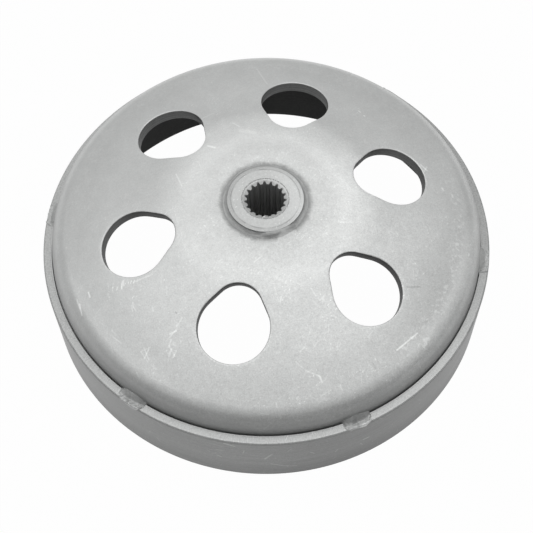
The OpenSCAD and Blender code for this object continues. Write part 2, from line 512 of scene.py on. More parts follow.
def add_hub():
    """Turned hub: grown from the boss's lower edge over flange and face, then down the spline."""
    steps = GROOVES * TOOTH_STEPS
    radii = [tooth_r(i % TOOTH_STEPS / TOOTH_STEPS) for i in range(steps)]

    def lead_out(order, _):
        r = radii[order]
        return polar(r, 2 * pi * order / steps, HUB_BOTTOM_Z + (LEAD_OUT_R - r))

    def lead_in(share):
        def place(order, _):
            r = LEAD_IN_R + (radii[order] - LEAD_IN_R) * share
            drop = (LEAD_IN_R - r) * tan(LEAD_IN_SLOPE)
            return polar(r, 2 * pi * order / steps, FACE_Z - drop)
        return place

    flange_low = PLATE_Z - SHEET - FLANGE
    outline = broken([
        (LEAD_OUT_R, HUB_BOTTOM_Z, 0),
        (BOSS_R - BOSS_CHAMFER, HUB_BOTTOM_Z, HUB_EDGE),
        (BOSS_R, HUB_BOTTOM_Z + BOSS_CHAMFER, HUB_EDGE),
        (BOSS_R, flange_low, 4 * HUB_EDGE),
        (FLANGE_R, flange_low, HUB_EDGE),
        (FLANGE_R, PLATE_Z - SHEET, HUB_EDGE),
        (COLLAR_R, PLATE_Z - SHEET, 0),
        (COLLAR_R, FACE_Z - FACE_BEVEL_H, HUB_EDGE),
        (COLLAR_R - FACE_BEVEL_W, FACE_Z, HUB_EDGE / 2),
        (LEAD_IN_R, FACE_Z, HUB_EDGE / 2)])
    piece = start_loop("turned_hub", circle(*outline[0], steps))
    for r, z in outline[1:]:
        extrude_to(piece, on_circle(r, z))
    for i in range(1, LEAD_IN_STEPS + 1):
        extrude_to(piece, lead_in(i / LEAD_IN_STEPS))
    extrude_to(piece, lead_out)
    extrude_to(piece, on_circle(LEAD_OUT_R, HUB_BOTTOM_Z))
    return close_shell(piece, 30)


# ------ ring


def add_ring():
    """Weight ring with broken edges and the open crevice along its upper inner edge."""
    inner_r = SKIRT_R + CREVICE_W
    return turned("weight_ring", broken([
        (SKIRT_R, 0, 0),
        (RING_R - RING_CHAMFER, 0, RING_EDGE),
        (RING_R, RING_CHAMFER, RING_EDGE),
        (RING_R, RING_Z - RING_FALL - RING_CHAMFER, RING_EDGE),
        (RING_R - RING_CHAMFER, RING_Z - RING_FALL, RING_EDGE),
        (inner_r, RING_Z, RING_EDGE),
        (inner_r, RING_Z - CREVICE_DEPTH, 0),
        (SKIRT_R, RING_Z - CREVICE_DEPTH, 0)]), RING_STEPS)


# ------ welds


def soft_step(value, low, high):
    share = min(max((value - low) / (high - low), 0), 1)
    return share * share * (3 - 2 * share)


def bumps(place, size, seed):
    """Smooth noise between -1 and 1 with lumps of about the given size."""
    return noise.noise(place / size + Vector((seed * 7.3, seed * 3.1, seed * 5.7)))


def add_hub_weld():
    """Weld metal in the groove round the hub: hollow, rippled, with an uneven outer toe."""
    toe = (COLLAR_R - 0.02 * MM, PLATE_Z + HUB_WELD_CLIMB)
    rim = (WELD_R + 0.15 * MM, PLATE_Z - 0.03 * MM)
    outline = [(COLLAR_R - 0.05 * MM, PLATE_Z - WELD_DEPTH + 0.1 * MM)]
    for i in range(HUB_WELD_ROWS + 1):
        share = i / HUB_WELD_ROWS
        hollow = 4 * share * (1 - share) * HUB_WELD_HOLLOW
        outline.append((toe[0] + (rim[0] - toe[0]) * share - hollow * 0.4,
                        toe[1] + (rim[1] - toe[1]) * share - hollow))
    piece = turned("hub_weld_metal", outline, HUB_WELD_STEPS)
    for vertex in piece.data.vertices:
        place = vertex.co
        r = hypot(place.x, place.y)
        across = (r - toe[0]) / (rim[0] - toe[0])
        if across < -0.01 or place.z < PLATE_Z - 1.0 * MM:
            continue
        angle = atan2(place.y, place.x)
        flat = Vector((place.x, place.y, 0))
        inside = soft_step(across, 0, 0.25) * soft_step(across, 1, 0.8)
        beat = 34 * angle + 5 * (across - 0.5) ** 2 + 2.5 * bumps(flat, 5 * MM, 1)
        lift = inside * (0.012 * MM * sin(beat) + 0.06 * MM * bumps(flat, 2.4 * MM, 2))
        spread = soft_step(across, 0.3, 1) * MM * (0.28 * bumps(flat, 3.5 * MM, 3) - 0.35 * sin(angle)
                                                   + 0.12 * bumps(flat, 1.2 * MM, 4))
        away = abs((angle - HUB_WELD_FLASH + pi) % (2 * pi) - pi)
        flash = soft_step(away, radians(28), radians(15)) * soft_step(across, 0.90, 0.35)
        lift += flash * (0.54 + 0.28 * soft_step(across, 0, 0.28)) * MM
        spread -= flash * (0.45 + 0.25 * bumps(flat, 2.0 * MM, 6)) * MM * soft_step(across, 0.9, 0)
        place.x *= (r + spread) / r
        place.y *= (r + spread) / r
        place.z += lift
    return piece


def rim_weld_point(along, across, shape, seed):
    """A point of a tack weld's skin: along from -1 to 1, across from 0, skirt, to 1, ring's edge.

    Returns its radius, its height, its place along the weld and the painted highlight of its lip.
    """
    lip_start, lip_end, lip_height, lap, crater = shape
    fullness = max(1 - along * along, 0) ** 0.75
    width = sqrt(max(1 - abs(along) ** 5, 0))
    lip = soft_step(along, lip_start - 0.25, lip_start + 0.15)
    lip *= soft_step(along, lip_end + 0.12, lip_end - 0.08)
    turn = along * RIM_WELD_HALF
    flat = Vector((turn, across * 3 * MM, 0))
    inner = SKIRT_R - 0.05 * MM
    outer = SKIRT_R + 0.5 * MM + (RING_R - RING_CHAMFER - SKIRT_R - 0.4 * MM) * width
    ragged = 0.20 * bumps(flat, 2.2 * MM, seed + 4) + 0.13 * bumps(flat, 0.9 * MM, seed + 6)
    outer += soft_step(across, 0.6, 1) * ragged * MM
    r = inner + (outer - inner) * min(across / 0.86, 1)
    z = RING_Z + (0.08 * MM + RIM_WELD_CLIMB * fullness) * max(1 - across / 0.60, 0) ** 1.6
    z += 0.12 * MM * fullness
    top = soft_step(across, 0.42, 0.94) * soft_step(across, 1.0, 0.95)
    z += lip * top * MM * (lip_height + 0.16 * bumps(flat, 1.1 * MM, seed + 3))
    beyond = soft_step(width, 0.55, 0.95)
    jut = RING_CHAMFER + lip * lap * MM * (1 + 0.9 * bumps(flat, 1.3 * MM, seed + 7))
    r += soft_step(across, 0.84, 0.95) * beyond * jut
    z -= soft_step(across, 0.90, 1) * beyond * (0.42 + 0.3 * lip) * MM
    edge = min(soft_step(1 - abs(along), 0, 0.12), soft_step(across, 0, 0.06),
               soft_step(1 - across, 0, 0.07))
    ripple = sin((turn + 5.6 * MM * (across - 0.5) ** 2) / (1.3 * MM) * 2 * pi)
    hollow = 2.72 ** (-((turn - crater * MM) / (0.8 * MM)) ** 2 - ((across - 0.56) / 0.14) ** 2)
    z += edge * MM * (0.03 * ripple + 0.18 * bumps(flat, 1.8 * MM, seed)
                      + 0.08 * bumps(flat, 0.7 * MM, seed + 9) - 0.18 * hollow)
    z -= (1 - edge) * 0.06 * MM
    turn += soft_step(abs(along), 0.6, 1) * 0.55 * MM * bumps(flat, 1.2 * MM, seed + 2)
    blob = 0.6 + 0.8 * bumps(flat, 1.0 * MM, seed + 5)
    inward = across + 0.22 * bumps(flat, 1.5 * MM, seed + 8)
    # Painted highlight: how much paler the outer lip is painted.
    painted_lip_highlight = lip * soft_step(inward, 0.45, 0.68) * min(max(blob, 0), 1) * min(max(lip_height / 0.3, 0), 1)
    return r, z, turn, painted_lip_highlight


def add_rim_weld(index):
    """A puddle of weld metal over the crevice, from the skirt to the ring's outer edge."""
    bpy.ops.object.select_all(action="DESELECT")
    faces_along, faces_across = RIM_WELD_GRID
    bpy.ops.mesh.primitive_grid_add(x_subdivisions=faces_along, y_subdivisions=faces_across, size=2)
    piece = bpy.context.object
    piece.name = f"rim_weld_metal_{index + 1}"
    piece.data.name = piece.name
    bpy.ops.object.mode_set(mode="EDIT")
    bpy.ops.mesh.select_all(action="SELECT")
    bpy.ops.mesh.extrude_region_move(TRANSFORM_OT_translate={"value": (0, 0, -1)})
    bpy.ops.object.mode_set(mode="OBJECT")
    middle = RIM_WELD_TURN + index * 2 * pi / RIM_WELDS
    if index in RIM_WELD_POINTS:
        spot = seen_on(ring, RIM_WELD_POINTS[index])
        middle = atan2(spot.y, spot.x)
    # The lip attribute carries the painted lip highlight to the weld's finish.
    lip = piece.data.attributes.new("lip", "FLOAT", "POINT")
    for vertex in piece.data.vertices:
        along, across, under = vertex.co.x, (vertex.co.y + 1) / 2, vertex.co.z < -0.5
        r, z, turn, painted_lip_highlight = rim_weld_point(along, across, RIM_WELD_SHAPES[index], index + 1)
        lip.data[vertex.index].value = painted_lip_highlight
        if under:
            r = min(max(r, SKIRT_R - 0.3 * MM), RING_R - 0.5 * MM)
            z = RING_Z - (1.5 if across < 0.3 else 0.8) * MM
        vertex.co = polar(r, middle + turn / RING_R, z)
    bpy.ops.object.mode_set(mode="EDIT")
    face_outwards(60)
    return piece


dish = add_dish()
hub = add_hub()
ring = add_ring()
hub_weld = add_hub_weld()
rim_welds = [add_rim_weld(i) for i in range(RIM_WELDS)]

worn = [(dish, "bell_dish", "pressed_steel"), (hub, "spline_hub", "hub_steel"),
        (ring, "rim_ring", "ring_steel"), (hub_weld, "hub_weld", "weld_metal")]
worn += [(weld, f"rim_weld_{i + 1}", "weld_metal") for i, weld in enumerate(rim_welds)]
for piece, node, slot in worn:
    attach(piece, "root")
    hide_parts(node)

# ------ shader maths


def total(numbers):
    """The sum of numbers of a finish. Each is added as soon as it is made, which keeps few in use."""
    result = None
    for number in numbers:
        result = number if result is None else result + number
    return result


class Number:
    """A number or vector in a finish. An expression on numbers adds the Math nodes it stands for."""

    def __init__(self, finish, socket):
        self.finish = finish
        self.socket = socket

    def other(self, output):
        """Another output of the node that this number comes from."""
        return Number(self.finish, self.socket.node.outputs[output])

    def maths(self, operation, *values):
        return self.finish.node("Math", {"operation": operation}, dict(enumerate(values)))

    def vector(self, operation, *others):
        """Vector Math on this vector. A dot product, length or distance comes as a number."""
        number = operation in ("DOT_PRODUCT", "LENGTH", "DISTANCE")
        return self.finish.node("VectorMath", {"operation": operation},
                                dict(enumerate((self, *others))), output=int(number))

    def __add__(self, other):
        return self.maths("ADD", self, other)

    def __sub__(self, other):
        return self.maths("SUBTRACT", self, other)

    def __mul__(self, other):
        return self.maths("MULTIPLY", self, other)

    def __rsub__(self, other):
        return self.maths("SUBTRACT", other, self)

    __radd__ = __add__
    __rmul__ = __mul__

    def __abs__(self):
        return self.maths("ABSOLUTE", self)

    def clamped(self):
        """The number kept between 0 and 1."""
        return self.maths("MINIMUM", self.maths("MAXIMUM", self, 0.0), 1.0)

    def ramp(self, low, high):
        """0 below low, 1 above high and a soft climb between them."""
        return self.finish.node("MapRange", {"interpolation_type": "SMOOTHSTEP"},
                                {"Value": self, "From Min": low, "From Max": high})

    def distance(self, place):
        return self.vector("DISTANCE", place)

    def dot(self, way):
        return self.vector("DOT_PRODUCT", way)

    def noise(self, scale, detail=2.0, roughness=0.5):
        return self.finish.node("TexNoise", values={"Vector": self, "Scale": scale,
                                                    "Detail": detail, "Roughness": roughness})

    def grain(self, *sizes):
        """Noise around zero, summed over (size in millimetres, strength) pairs."""
        return total((self.noise(1 / size, 1.0) - 0.5) * (2 * strength) for size, strength in sizes)


class Finish:
    """A node material, with its coordinates in millimetres on the object."""

    def __init__(self, name, owners=bpy.data.materials):
        self.owner = owners.new(name)
        self.owner.use_nodes = True
        self.tree = self.owner.node_tree
        self.tree.nodes.clear()

    def node(self, kind, settings=None, values=None, output=0):
        """Adds a node: first its settings, then the numbers or links of its sockets."""
        made = self.tree.nodes.new("ShaderNode" + kind)
        for name, value in (settings or {}).items():
            setattr(made, name, value)
        for name, value in (values or {}).items():
            if isinstance(value, Number):
                self.tree.links.new(value.socket, made.inputs[name])
            else:
                made.inputs[name].default_value = value
        return Number(self, made.outputs[output]) if made.outputs else made

    def scaled(self, vector, by):
        return self.node("VectorMath", {"operation": "SCALE"}, {0: vector, "Scale": by})

    def joined(self, x=0.0, y=0.0, z=0.0):
        """A vector from three numbers."""
        return self.node("CombineXYZ", values={0: x, 1: y, 2: z})

    def split(self, vector):
        """The three numbers of a vector."""
        x = self.node("SeparateXYZ", values={0: vector})
        return x, x.other(1), x.other(2)

    def coordinates(self):
        """The place on the object in millimetres, its x, y and z, and its distance from the axis."""
        spot = self.scaled(self.node("TexCoord", output="Object"), 1 / MM)
        x, y, z = self.split(spot)
        return spot, x, y, z, self.joined(x, y).vector("LENGTH")

    def steel(self, shade, metallic, roughness, height, specular=0.5):
        """Ends the material: steel of a shade, its fine relief from a height in millimetres."""
        colour = self.scaled(STEEL_TINT, shade)
        relief = self.node("Bump", values={"Height": height, "Distance": MM})
        shader = self.node("BsdfPrincipled", values={
            "Base Color": colour, "Metallic": metallic, "Roughness": roughness,
            "Specular IOR Level": specular, "Normal": relief})
        self.node("OutputMaterial", values={"Surface": shader})
        return self.owner


def grey(value):
    return (value, value, value, 1)


# ------ steel finishes

STEEL_TINT = (0.985, 1.0, 0.99)
SKIN_SHADE = 0.66
SKIN_METAL = 0.6
WALL_SHADE = 0.19
# The drum's inside is painted nearly black as shade.
INSIDE_SHADE = 0.10
# The ring's side is painted darker than its top: painted shade on the side, painted light on top.
RING_SIDE_SHADE = 0.24
RING_TOP_SHADE = 0.48
HUB_SHADE = 0.48
# The bore is painted nearly black as shade.
BORE_SHADE = 0.21
WELD_SHADE = 0.38
HUB_WELD_SHADE = 0.41

# Heights that the finishes use, in millimetres.
RING_TOP = RING_Z / MM
RING_LIP = (RING_Z - RING_FALL) / MM
FACE_TOP = FACE_Z / MM

# Single marks on the plate: x and y of start and end, width in millimetres, brightness.
PLATE_MARKS = (
    (29.9, -48.6, 22.6, -51.9, 0.34, 0.42), (13.4, 54.0, 14.2, 45.4, 0.38, 0.11),
    (-22.3, 17.2, -21.8, 12.3, 0.35, 0.16), (18.1, -13.1, 21.4, -13.9, 0.35, 0.12),
    (31.3, -35.4, 35.1, -36.0, 0.32, -0.19), (-44.9, -30.8, -44.5, -34.5, 0.3, 0.2),
    (-43.7, -31.6, -45.7, -33.7, 0.3, 0.2), (-35.1, -29.4, -37.9, -31.0, 0.3, 0.16),
    (-38.1, -32.9, -37.3, -36.1, 0.3, 0.16), (-52.4, -24.3, -50.7, -26.9, 0.3, 0.18),
    (-48.7, -36.5, -48.4, -38.0, 0.4, 0.2), (38.2, 26.8, 38.4, 26.2, 0.4, 0.3),
    (39.1, 24.6, 39.2, 24.3, 0.4, 0.3), (55.7, -8.6, 55.6, -9.2, 0.45, 0.25),
    (53.6, -28.3, 53.3, -28.8, 0.45, 0.25), (-0.8, -53.4, -0.5, -55.2, 0.4, 0.3),
    (-34.8, -28.6, -33.0, -27.3, 0.3, 0.16), (-46.0, -31.5, -44.9, -34.9, 0.3, 0.16),
    (-9.0, -18.6, -6.3, -17.4, 0.3, 0.14), (4.1, -30.4, 4.8, -32.8, 0.3, 0.14),
    (-4.0, -46.0, -2.3, -45.1, 0.3, 0.2), (5.6, -34.1, 7.0, -33.3, 0.3, 0.16),
    (-8.9, 36.4, -5.2, 37.2, 0.3, 0.12), (-42.1, -11.5, -37.2, -11.5, 0.4, 0.16),
    (-45.4, -9.7, -45.7, -11.2, 0.4, 0.26), (-50.6, -11.6, -50.5, -12.8, 0.35, 0.14),
    (-37.0, -29.9, -35.1, -29.7, 0.4, 0.22), (-37.1, -31.5, -38.3, -33.1, 0.4, 0.2),
    (-37.7, -33.9, -38.9, -35.5, 0.45, 0.2), (-36.6, -34.9, -37.8, -36.2, 0.4, 0.18),
    (-36.9, -32.8, -36.3, -33.7, 0.35, 0.14), (-59.2, -10.9, -59.4, -14.4, 0.38, 0.48),
    (-52.2, -22.3, -51.5, -24.4, 0.35, 0.12), (-54.9, -18.6, -54.0, -20.0, 0.35, 0.1),
    (-44.1, -36.4, -43.0, -37.7, 0.35, 0.12), (-46.0, -31.5, -43.2, -31.2, 0.3, 0.12),
    (-1.2, 30.3, 0.3, 28.1, 0.32, 0.16), (0.3, 26.3, 3.8, 24.2, 1.2, 0.09),
    (-10.6, 23.8, -9.0, 22.4, 0.5, 0.24), (-18.6, 14.8, -15.1, 15.4, 0.3, 0.08),
    (49.9, 3.0, 51.0, 0.8, 0.42, 0.32), (50.0, 0.7, 51.5, 2.1, 0.4, 0.22),
    (53.4, -5.9, 53.5, -6.6, 0.5, 0.26), (28.9, -4.7, 29.6, -5.5, 0.35, 0.15),
    (30.6, -6.3, 31.4, -6.7, 0.35, 0.15), (31.3, -50.8, 32.7, -50.8, 0.8, 0.24),
    (31.5, -51.7, 30.6, -52.5, 0.7, 0.24), (-4.1, -50.9, -0.4, -53.8, 0.3, 0.16),
    (14.6, -53.5, 15.2, -55.3, 0.35, -0.12), (-1.9, -58.6, 1.2, -57.8, 0.3, 0.14),
    (-14.3, -56.9, -14.4, -58.0, 0.35, 0.2), (-59.6, -9.3, -59.5, -12.3, 0.36, 0.34),
    (-44.6, -17.2, -44.7, -18.5, 0.32, 0.18), (-45.1, -17.9, -45.2, -19.5, 0.32, 0.16),
    (-44.6, -18.8, -44.3, -20.0, 0.32, 0.16), (-39.7, -20.9, -39.7, -21.9, 0.35, 0.18),
    (-33.8, -24.7, -33.7, -25.0, 0.4, -0.22), (-55.9, -8.6, -55.8, -10.2, 0.36, 0.38),
    (4.1, -57.2, 4.2, -58.6, 0.35, 0.18), (-5.9, -48.2, -4.5, -50.3, 0.3, 0.12))

# Rows of short nicks: x and y of start and end, half width of the row, spacing of the nicks.
NICK_ROWS = ((-50.2, -10.2, -45.0, -11.2, 1.7, 1.45), (-45.7, -10.6, -41.2, -11.7, 0.7, 0.9))

# Scratches on the ring's side: x, y and z of start and end, width, brightness.
RING_MARKS = (
    (-34.7, -57.9, 20.9, -30.6, -60.1, 20.3, 0.37, 0.24),
    (-30.5, -60.2, 22.9, -27.9, -61.5, 21.7, 0.42, 0.68),
    (-32.7, -59.1, 16.9, -31.1, -59.9, 17.0, 0.42, 0.34),
    (-32.6, -59.1, 12.5, -31.6, -59.6, 11.6, 0.42, 0.42),
    (-20.0, -64.5, 13.2, -18.1, -65.0, 16.7, 0.42, 0.51),
    (-18.3, -65.0, 9.0, -13.7, -66.1, 6.5, 0.37, 0.51),
    (-13.7, -66.1, 6.5, -11.2, -66.6, 6.1, 0.37, 0.42),
    (8.9, -66.9, 12.6, 10.5, -66.7, 12.5, 0.47, 0.77),
    (15.7, -65.7, 22.6, 16.4, -65.5, 22.7, 0.42, 0.51))

# Broad patches of painted light and shade on the plate: x and y of the middle, how far the patch
# reaches, how far it stays full, and its brightness.
PAINTED_LIGHT_PATCHES = ((40, -8, 32, 8, 0.06), (4, -36, 20, 8, 0.04), (34, -36, 18, 6, -0.06), (6, 52, 20, 8, 0.035))


def on_plate(row):
    """A row of a table, with its start and end lifted onto the plate."""
    start, end = (Vector((x, y, plate_z(hypot(x, y) * MM) / MM)) for x, y in (row[:2], row[2:4]))
    return start, end, *row[4:]


def facing(x, y, up):
    """Roughly the way the surface faces: outwards, or upwards where up is large."""
    return x.finish.joined(x, y, up).vector("NORMALIZE")


def stroke(spot, normal, cell, half_width, half_length, share, strength):
    """Short straight marks in a share of the cells, lying in the surface in any direction."""
    finish = spot.finish
    cells = finish.node("TexVoronoi", values={"Vector": spot, "Scale": 1 / cell}, output="Position")
    code = cells.other("Color")
    lean = code.vector("SUBTRACT", (0.5, 0.5, 0.5))
    way = lean.vector("CROSS_PRODUCT", normal).vector("NORMALIZE")
    offset = spot.vector("SUBTRACT", cells)
    along = offset.dot(way)
    across = offset.dot(way.vector("CROSS_PRODUCT", normal))
    pick, depth, _ = finish.split(code)
    mark = abs(across).ramp(half_width, half_width * 0.3)
    mark *= abs(along).ramp(half_length, half_length * 0.5)
    return mark * pick.ramp(share, share - 0.04) * (0.3 + depth) * strength


def strokes(spot, normal, *kinds):
    """Strokes of several kinds: cell, half width, half length, share and strength of each."""
    return total(stroke(spot, normal, *kind) for kind in kinds)


def placed_mark(spot, start, end, width, strength):
    """A mark from start to end: how much brighter its line is than the metal round it."""
    line = end - start
    offset = spot.vector("SUBTRACT", start)
    share = offset.dot(line / line.length_squared).clamped()
    away = offset.distance(spot.finish.scaled(line, share))
    return away.ramp(width, width * 0.25) * strength


def plate_marks(spot):
    return total(placed_mark(spot, *on_plate(row)) for row in PLATE_MARKS)


def ring_marks(spot):
    return total(placed_mark(spot, Vector(row[:3]), Vector(row[3:6]), *row[6:]) for row in RING_MARKS)


def nick_row(spot, start, end, half_width, pitch):
    """A row of short slanting nicks, where a tool chattered over the plate."""
    length = (end - start).length
    way = (end - start).normalized()
    offset = spot.vector("SUBTRACT", start)
    along = offset.dot(way)
    across = offset.dot(way.cross(Vector((0, 0, 1))).normalized())
    phase = (along + across * 0.2 + spot.noise(0.45) * 0.9) * (2 * pi / pitch)
    mark = phase.maths("SINE", phase).ramp(0.25, 0.9) * abs(across).ramp(half_width, half_width * 0.4)
    return mark * along.ramp(-0.2, 0.6) * along.ramp(length, length - 1.5)


def nick_rows(spot):
    rows = total(nick_row(spot, *on_plate(row)) for row in NICK_ROWS)
    return rows * spot.noise(0.9).ramp(0.35, 0.6)


def painted_light_tone(x, y, r):
    """Broad lighter and darker zones of the plate, painted in as the light and shade that fall on it.
    """
    flat = x.finish.joined(x, y)
    tone = 1 - r.ramp(25.0, 17.0) * 0.10 - (x * 0.8 - y * 0.6).ramp(42.0, 60.0) * 0.06
    tone += abs(r - 26.5).ramp(8.5, 3.0) * ((x * 0.5 + y * 0.87).ramp(-14.0, 22.0) * 0.22 - 0.06)
    for middle_x, middle_y, reach, core, strength in PAINTED_LIGHT_PATCHES:
        tone += flat.distance((middle_x, middle_y, 0)).ramp(reach, core) * strength
    tone += (x * 0.7 - y * 0.7).ramp(51.0, 58.0) * r.ramp(56.0, 60.0) * 0.14
    tone += abs(r - 59.3).ramp(2.6, 0.6) * (x * -0.9 - y * 0.44).ramp(50.0, 57.0) * 0.06
    return tone - r.ramp(44.0, 57.0) * 0.08


def weld_heat_and_painted_light(spot, r, y):
    """Weld darkening round the hub: 1 on the weld, 0 past its toe, less in a painted light patch."""
    ragged = spot.grain((1.8, 0.5), (0.6, 0.35))
    # Painted light: a paler patch where the weld laps over the hub's front edge.
    painted_lap_light = spot.distance((2.4, -13.0, PLATE_Z / MM)).ramp(3.5, 1.3)
    return (r + y * 0.012 + ragged + painted_lap_light * 1.5).ramp(14.2, 12.5)


def blasted_skin():
    """Outer skin of the dish: finely blasted and handled, with painted light and shade on it."""
    finish = Finish("blasted_skin")
    spot, x, y, z, r = finish.coordinates()
    front = y.ramp(-10.0, -40.0)
    rise = z - RING_TOP
    # Painted shade: the shoulder darkens towards the ring, more at the front and most just above the
    # crevice.
    low = rise.ramp(7.3, 4.2) * (front * 0.17 + 0.32) - rise.ramp(3.3, 0.0) * 0.14
    # Painted highlight: a paler band where the plate bends into the shoulder, at the front.
    painted_bend_highlight = rise.ramp(6.9, 7.5) * rise.ramp(8.4, 7.8) * front
    busy = spot.distance((10.0, -42.0, 36.0)).ramp(90.0, 20.0) * 0.45 + 0.40
    mottle = spot.grain((17.0, 0.030), (4.5, 0.052))
    mottle += spot.grain((1.5, 0.09), (0.7, 0.12), (0.35, 0.18)) * busy
    outwards = facing(x, y, z.ramp(28.0, 35.0) * 140.0)
    scuffs = strokes(spot, outwards, (5.0, 0.18, 1.6, 0.5, 0.14), (2.2, 0.20, 0.6, 0.42, 0.13),
                     (1.2, 0.22, 0.3, 0.40, 0.16), (6.5, 0.14, 1.2, 0.3, -0.08))
    patches = spot.noise(1 / 9.0).ramp(0.42, 0.66)
    bend_wear = abs(r - 57.0).ramp(2.6, 0.4) * spot.noise(0.9).ramp(0.48, 0.66)
    bend_wear *= (x * 0.8 - y * 0.6).ramp(44.0, 56.0) * 0.8 + 0.2
    scorch = weld_heat_and_painted_light(spot, r, y) + r.ramp(15.6, 13.2) * 0.12
    marks = plate_marks(spot) + nick_rows(spot) * 0.38
    shade = SKIN_SHADE * (1 + mottle + scuffs * busy * (0.5 + patches) + bend_wear * 0.22 + marks)
    shade *= painted_light_tone(x, y, r)
    shade *= (1 + painted_bend_highlight * 0.10 - low) * (1 - scorch * 0.46)
    rough = 0.42 + spot.grain((3.0, 0.04), (0.5, 0.05)) + low * 0.1 - scuffs * 0.3
    height = spot.grain((0.45, 0.010), (1.6, 0.008)) + scuffs * 0.02
    return finish.steel(shade, SKIN_METAL - low * 0.15, rough, height)


def sheared_wall():
    """Punched wall of the windows: a bright sheared band above, torn and dark below."""
    finish = Finish("sheared_wall")
    spot, _, y, z, r = finish.coordinates()
    level = z + r * tan(SLOPE) + spot.noise(0.35) * 0.8
    bands = finish.joined(z=level).noise(1.9, 3.0, 0.65) - 0.5
    shade = WALL_SHADE * (1.06 + bands * 2.4 + spot.grain((0.4, 0.22), (2.5, 0.12)))
    # Painted shade: darker on the walls of the front windows; the walls towards the hub are darker too.
    shade *= (1 - y.ramp(15.0, -10.0) * 0.55) * (1 - r.ramp(45.0, 37.0) * 0.55)
    height = spot.grain((0.3, 0.02)) + bands * 0.06
    return finish.steel(shade, 0.5, 0.55, height, specular=0.3)


def dark_inside():
    """Inside of the drum, painted nearly black as shade, with the turned lines of the track."""
    finish = Finish("painted_shade_inside")
    spot, _, _, z, _ = finish.coordinates()
    lines = finish.joined(z=z).noise(3.0, 3.0) - 0.5
    shade = INSIDE_SHADE * (1 + spot.grain((8.0, 0.25), (0.8, 0.2)) + lines * 0.7)
    return finish.steel(shade, 0.1, 0.7, lines * 0.02, specular=0.15)


def turned_ring():
    """Lathe lines round the ring's side, a top painted paler as light, with fine marks across it."""
    finish = Finish("turned_ring")
    spot, x, y, z, r = finish.coordinates()
    up = z.ramp(RING_LIP - 0.42, RING_LIP - 0.2)
    side_lines = finish.joined(z=z).noise(2.2, 4.0, 0.7) - 0.5
    top_lines = finish.joined(r).noise(4.0, 3.0) - 0.5
    turn = y.maths("ARCTAN2", y, x)
    ticks = finish.joined(turn * 67.0, r * 0.35).noise(3.6, 2.0) - 0.5
    streaks = finish.joined(x=turn * 3.0, z=z).noise(1.3, 3.0) - 0.5
    # Painted highlight along the ring's outer top edge.
    edge = abs(r - (RING_R - RING_CHAMFER / 2) / MM).ramp(0.5, 0.2)
    edge *= z.ramp(RING_LIP - 0.8, RING_LIP - 0.4)
    # Darker towards the bottom of the side, and painted contact shade along its foot.
    bottom_darkening = z.ramp(13.0, 0.0) * 0.30 + z.ramp(1.4, 0.2) * 0.22
    # Painted shade: the side is darker towards the right front.
    right_front = (x * 0.5 - y * 0.87).ramp(40.0, 64.0)
    side = RING_SIDE_SHADE * (1 + side_lines * 0.30 + streaks * 0.42 - bottom_darkening - right_front * 0.20)
    # Painted light and shade: the top is paler at the front, darker at the right and the left.
    top = RING_TOP_SHADE * (1 + ticks * 0.7 + top_lines * 0.6 + y.ramp(0.0, -50.0) * 0.07
                            - x.ramp(35.0, 62.0) * 0.24 - x.ramp(-35.0, -60.0) * 0.08)
    shade = side + (top - side) * up + edge * 0.03
    shade *= 1 + ring_marks(spot)
    shade *= 1 + spot.grain((0.35, 0.22), (0.9, 0.12), (6.0, 0.04)) * (1 - up * 0.5)
    outwards = facing(x, y, up * 400.0)
    shade += strokes(spot, outwards, (7.0, 0.16, 1.5, 0.35, 0.12), (3.0, 0.15, 0.5, 0.2, 0.08))
    height = side_lines * 0.012 + ticks * up * 0.02 + spot.grain((0.4, 0.008))
    return finish.steel(shade, 0.6, 0.40 + up * 0.04, height)


def turned_hub():
    """Faced and turned hub, bright on its face, with small nicks and pitted edges."""
    finish = Finish("turned_hub")
    spot, x, y, z, r = finish.coordinates()
    lines = finish.joined(r, z).noise(2.6, 3.0) - 0.5
    groove = abs(r - (COLLAR_R - FACE_BEVEL_W) / MM).ramp(0.25, 0.06)
    groove *= spot.noise(0.35).ramp(0.3, 0.6) * 0.8 + 0.2
    pits = abs(r - LEAD_IN_R / MM - 0.05).ramp(0.30, 0.08) * spot.noise(2.6).ramp(0.42, 0.58)
    # Painted light: the lead-in round the bore's mouth is made paler.
    painted_mouth_light = r.ramp(6.85, 6.6) * z.ramp(FACE_TOP - 1.0, FACE_TOP - 0.6)
    outwards = facing(x, y, z.ramp(FACE_TOP - 1.0, FACE_TOP - 0.4) * 400.0)
    nicks = strokes(spot, outwards, (2.4, 0.22, 0.5, 0.4, 0.10), (1.3, 0.2, 0.25, 0.3, 0.10))
    # Painted light and shade: the face is paler on its right side, and its bevel darker on one side.
    tone = 1 + x.ramp(1.0, 10.0) * 0.14 - x.ramp(-4.0, -10.0) * 0.03
    tone -= r.ramp(9.5, 10.2) * (x * 0.8 + y * 0.6).ramp(3.0, -5.0) * 0.16
    shade = HUB_SHADE * tone * (1 + lines * 0.14 + spot.grain((0.35, 0.14), (1.0, 0.06), (3.0, 0.04)))
    shade = shade * (1 - groove * 0.30 - pits * 0.45 + painted_mouth_light * 0.20) + nicks
    height = lines * 0.012 - groove * 0.03 - pits * 0.05 + spot.grain((0.4, 0.008))
    return finish.steel(shade, 0.6, 0.36, height)


